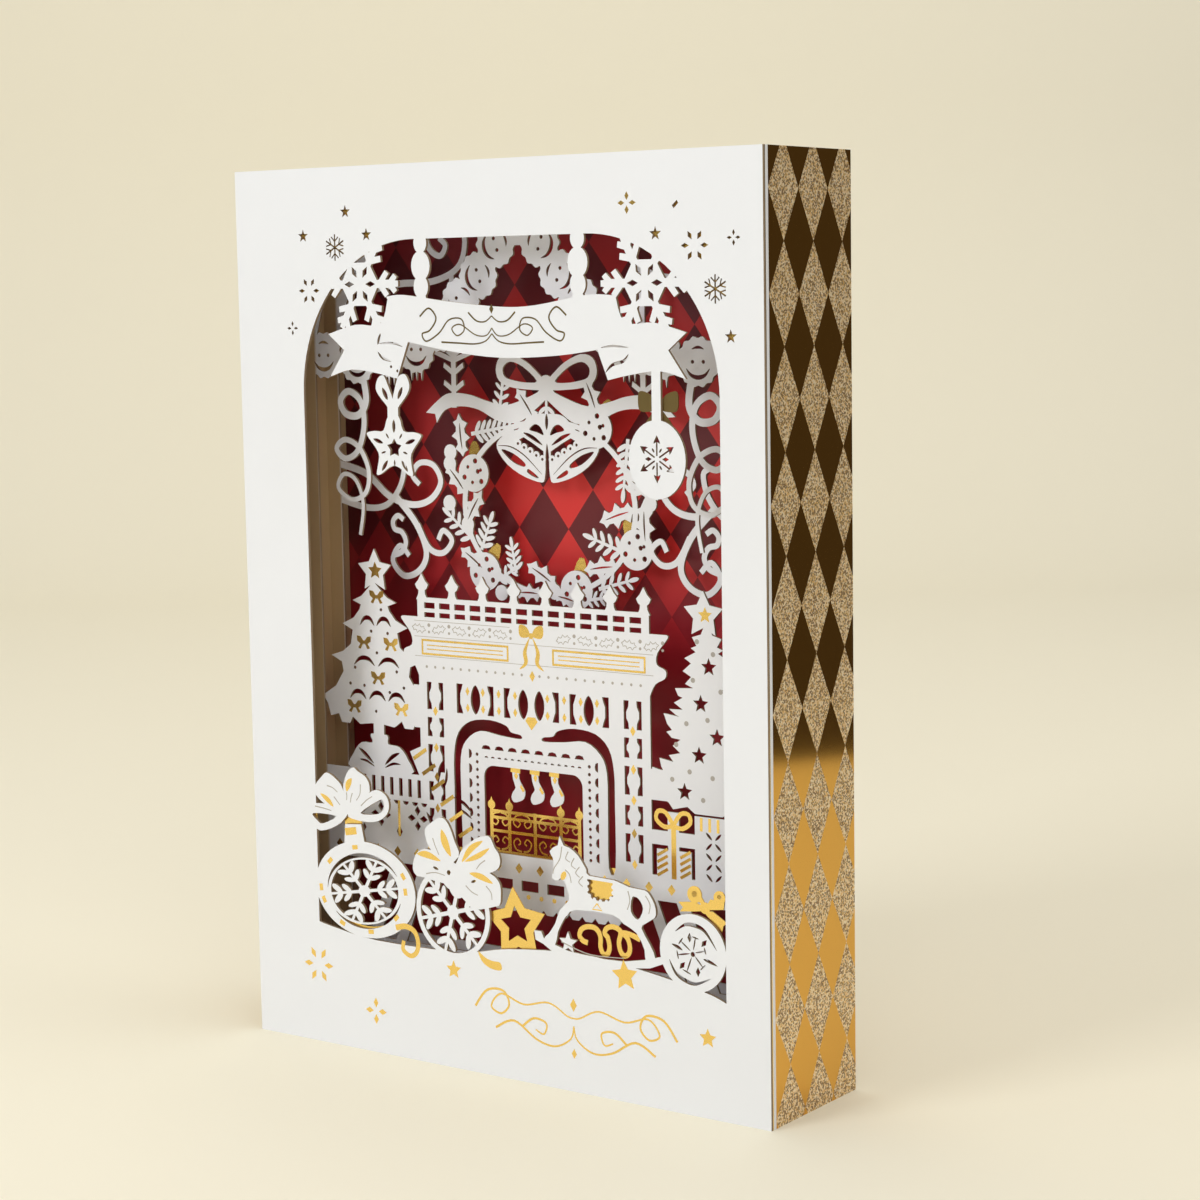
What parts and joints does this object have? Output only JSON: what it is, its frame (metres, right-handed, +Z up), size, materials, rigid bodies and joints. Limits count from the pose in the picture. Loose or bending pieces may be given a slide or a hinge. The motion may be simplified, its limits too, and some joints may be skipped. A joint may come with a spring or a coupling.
{
  "type": "greeting card",
  "caption": "Free-standing box greeting card: a cut-out white front over layered paper scenes of a hearth and a wreath, with a red back and gold foil sides.",
  "frame": {"origin": "centre of the rectangle that the card stands on, at its lowest edge", "axes": "+X to the right along the front, +Y from the front to the back, +Z up"},
  "size_m": [0.126, 0.0304, 0.178],
  "materials": {
    "front_panel": "matte white card",
    "scene_sheet": "matte white card",
    "wreath_sheet": "matte white card",
    "stockings": "matte white card",
    "front_board": "matte white board",
    "front_foil": "gold foil paper",
    "ring_foil": "gold foil paper",
    "bow_foil": "gold foil paper",
    "small_ball_bow": "gold foil paper",
    "saddle_foil": "gold foil paper",
    "curl_foil": "gold foil paper",
    "hanging_bow": "gold foil paper",
    "fire_screen": "gold foil paper",
    "wreath_cap_1": "gold foil paper",
    "wreath_cap_2": "gold foil paper",
    "wreath_cap_3": "gold foil paper",
    "wreath_cap_4": "gold foil paper",
    "wreath_cap_5": "gold foil paper",
    "back_liner": "red printed card, satin",
    "left_liner": "brown card, matte",
    "right_liner": "brown card, matte",
    "case": "mirror gold foil board with glitter diamonds"
  },
  "bodies": {
    "root": {"front_panel": "front_panel", "scene_sheet": "scene_sheet", "wreath_sheet": "wreath_sheet", "stockings": "stockings", "front_board": "front_board", "front_foil": "front_foil", "ring_foil": "ring_foil", "bow_foil": "bow_foil", "small_ball_bow": "small_ball_bow", "saddle_foil": "saddle_foil", "curl_foil": "curl_foil", "hanging_bow": "hanging_bow", "fire_screen": "fire_screen", "wreath_cap_1": "wreath_cap_1", "wreath_cap_2": "wreath_cap_2", "wreath_cap_3": "wreath_cap_3", "wreath_cap_4": "wreath_cap_4", "wreath_cap_5": "wreath_cap_5", "back_liner": "back_liner", "left_liner": "left_liner", "right_liner": "right_liner", "case": "case"}
  },
  "joints": []
}
